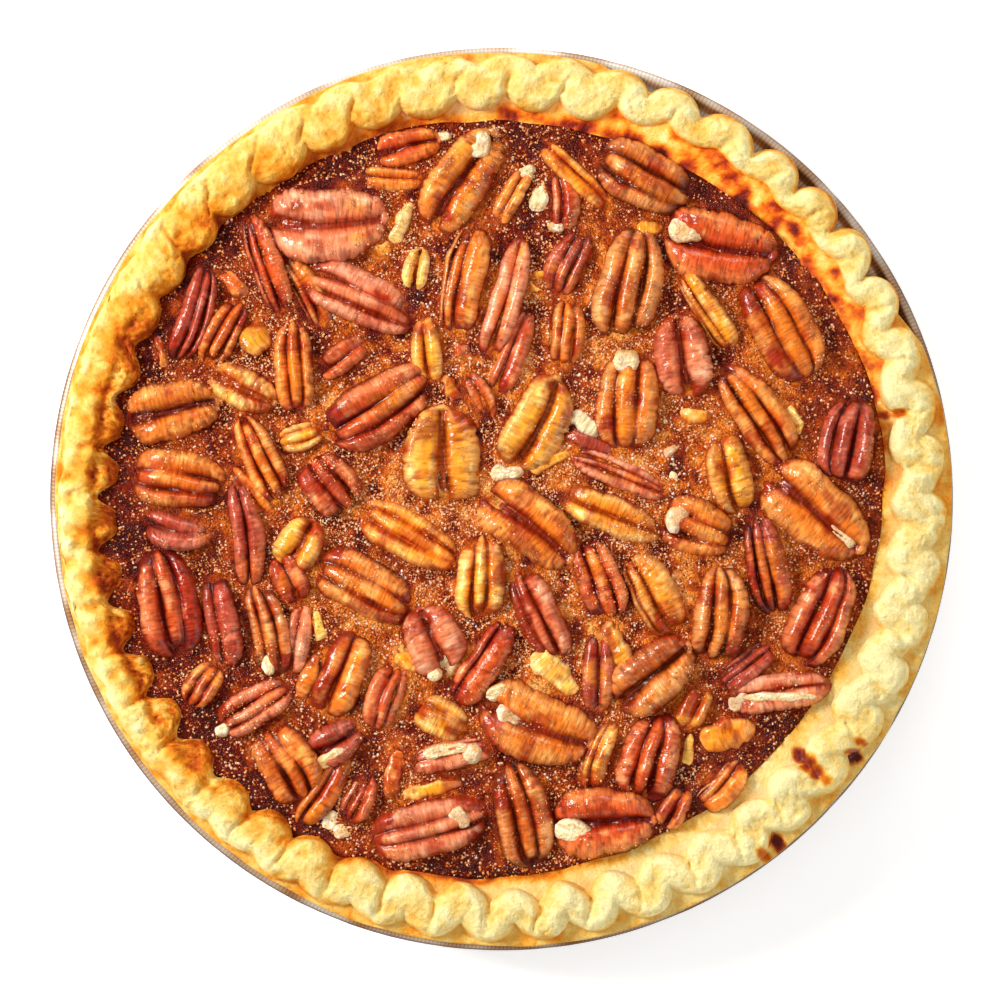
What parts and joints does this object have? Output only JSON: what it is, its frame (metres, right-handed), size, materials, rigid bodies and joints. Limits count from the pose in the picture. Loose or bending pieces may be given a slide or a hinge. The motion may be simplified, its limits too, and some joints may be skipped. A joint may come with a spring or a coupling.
{
  "type": "pecan pie",
  "caption": "Whole round pecan pie with a fluted pastry edge and halved pecans on a dark baked filling, in its aluminium foil tin.",
  "frame": {"origin": "centre of the tin's flat base, on the surface that it stands on", "axes": "+Z up out of the pie; the top is seen with +Y up and +X to the right"},
  "size_m": [0.23, 0.23, 0.0386],
  "materials": {
    "foil": "satin pressed foil",
    "pastry": "matte baked pastry, golden to pale butter yellow",
    "filling": "glossy bubbly baked syrup, dark maroon brown",
    "pecan": "glazed roasted nut, orange to red-brown"
  },
  "bodies": {
    "root": {"tin": "foil", "crust": "pastry", "filling": "filling", "pecan_face_01": "pecan", "pecan_side_02": "pecan", "pecan_back_03": "pecan", "pecan_back_04": "pecan", "pecan_back_05": "pecan", "pecan_face_06": "pecan", "pecan_back_07": "pecan", "pecan_face_08": "pecan", "pecan_side_09": "pecan", "pecan_face_10": "pecan", "pecan_back_11": "pecan", "pecan_back_12": "pecan", "pecan_side_13": "pecan", "pecan_side_14": "pecan", "pecan_back_15": "pecan", "pecan_back_16": "pecan", "pecan_face_17": "pecan", "pecan_face_18": "pecan", "pecan_back_19": "pecan", "pecan_back_20": "pecan", "pecan_side_21": "pecan", "pecan_side_22": "pecan", "pecan_back_23": "pecan", "pecan_back_24": "pecan", "pecan_back_25": "pecan", "pecan_back_26": "pecan", "pecan_face_27": "pecan", "pecan_face_28": "pecan", "pecan_back_29": "pecan", "pecan_side_30": "pecan", "pecan_side_31": "pecan", "pecan_face_32": "pecan", "pecan_back_33": "pecan", "pecan_back_34": "pecan", "pecan_side_35": "pecan", "pecan_back_36": "pecan", "pecan_side_37": "pecan", "pecan_face_38": "pecan", "pecan_back_39": "pecan", "pecan_back_40": "pecan", "pecan_side_41": "pecan", "pecan_face_42": "pecan", "pecan_side_43": "pecan", "pecan_back_44": "pecan", "pecan_back_45": "pecan", "pecan_back_46": "pecan", "pecan_back_47": "pecan", "pecan_back_48": "pecan", "pecan_side_49": "pecan", "pecan_side_50": "pecan", "pecan_face_51": "pecan", "pecan_face_52": "pecan", "pecan_back_53": "pecan", "pecan_face_54": "pecan", "pecan_back_55": "pecan", "pecan_back_56": "pecan", "pecan_side_57": "pecan"}
  },
  "joints": []
}
